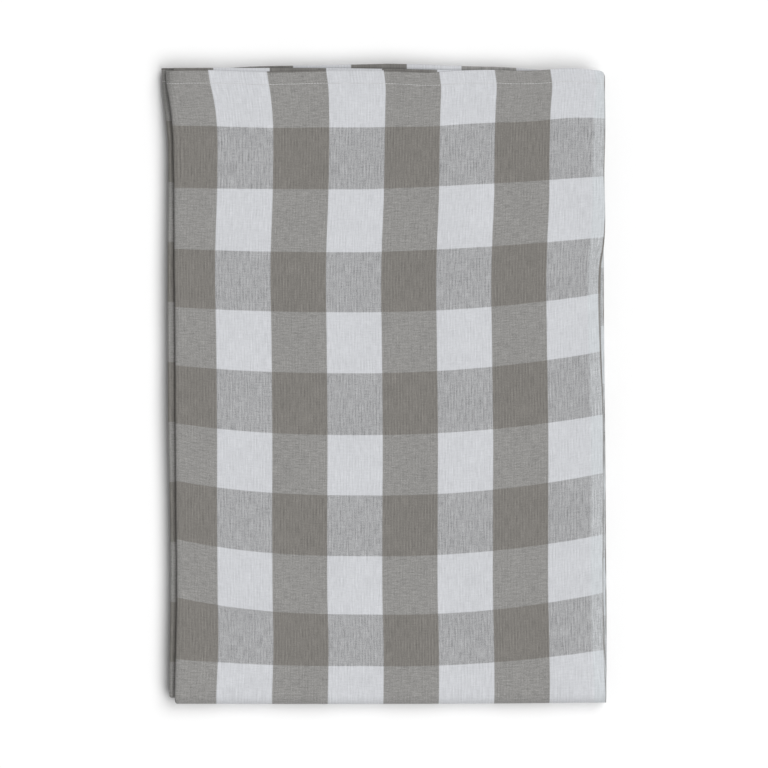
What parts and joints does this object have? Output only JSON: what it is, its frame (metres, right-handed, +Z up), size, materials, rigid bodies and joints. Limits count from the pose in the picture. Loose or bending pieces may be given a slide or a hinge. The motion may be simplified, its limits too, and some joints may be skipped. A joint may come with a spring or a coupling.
{
  "type": "folded tablecloth",
  "caption": "Woven check tablecloth, folded across and then along into a flat pile, with its selvedges on one side and its sewn hems at one end.",
  "frame": {"origin": "middle of the folded pile's underside, on the surface that it lies on", "axes": "+X towards the selvedges, +Y towards the hemmed end, +Z up out of the surface"},
  "size_m": [0.387, 0.5566, 0.0225],
  "materials": {
    "check_cotton": "matt plain weave in taupe and white"
  },
  "bodies": {
    "root": {"tablecloth": "check_cotton"}
  },
  "joints": []
}
